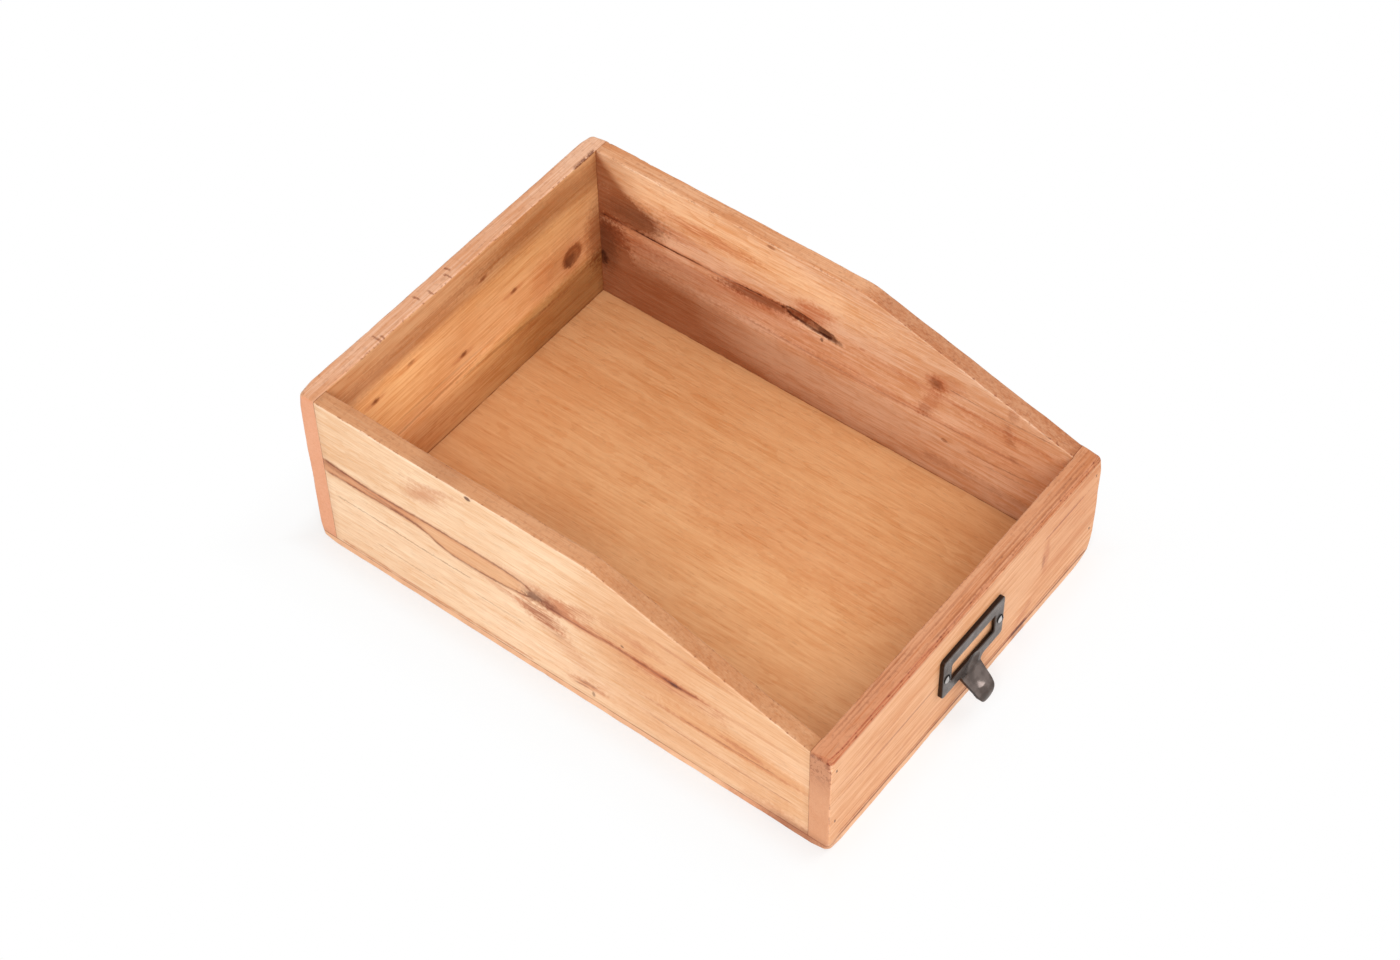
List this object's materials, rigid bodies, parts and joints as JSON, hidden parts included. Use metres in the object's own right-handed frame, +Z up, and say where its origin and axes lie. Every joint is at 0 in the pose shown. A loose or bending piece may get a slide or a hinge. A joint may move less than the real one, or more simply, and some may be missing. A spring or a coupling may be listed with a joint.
{
  "type": "document tray",
  "caption": "Open wooden document tray with a sloping front and a cast card-frame pull on its front board.",
  "frame": {"origin": "middle of the underside, on the surface that the tray rests on", "axes": "+X to the right seen from the front, +Y from the front board to the back board, +Z up"},
  "size_m": [0.26, 0.381, 0.126],
  "materials": {
    "back_wood": "waxed, open-grained, sanded arrises",
    "front_wood": "waxed, open-grained, sanded arrises",
    "left_wood": "waxed, open-grained, sanded arrises",
    "right_wood": "waxed, open-grained, sanded arrises",
    "base_wood": "waxed, open-grained, sanded arrises",
    "cast_metal": "dark antique casting, rubbed on the high spots",
    "bright_steel": "bright zinc-plated",
    "nail_steel": "dull, slightly rusted heads"
  },
  "bodies": {
    "root": {"back_board": "back_wood", "front_board": "front_wood", "left_side_board": "left_wood", "right_side_board": "right_wood", "base_panel": "base_wood", "card_frame_pull": "cast_metal", "pull_screws": "bright_steel", "front_nails": "nail_steel", "back_nails": "nail_steel", "base_nails": "nail_steel"}
  },
  "joints": []
}
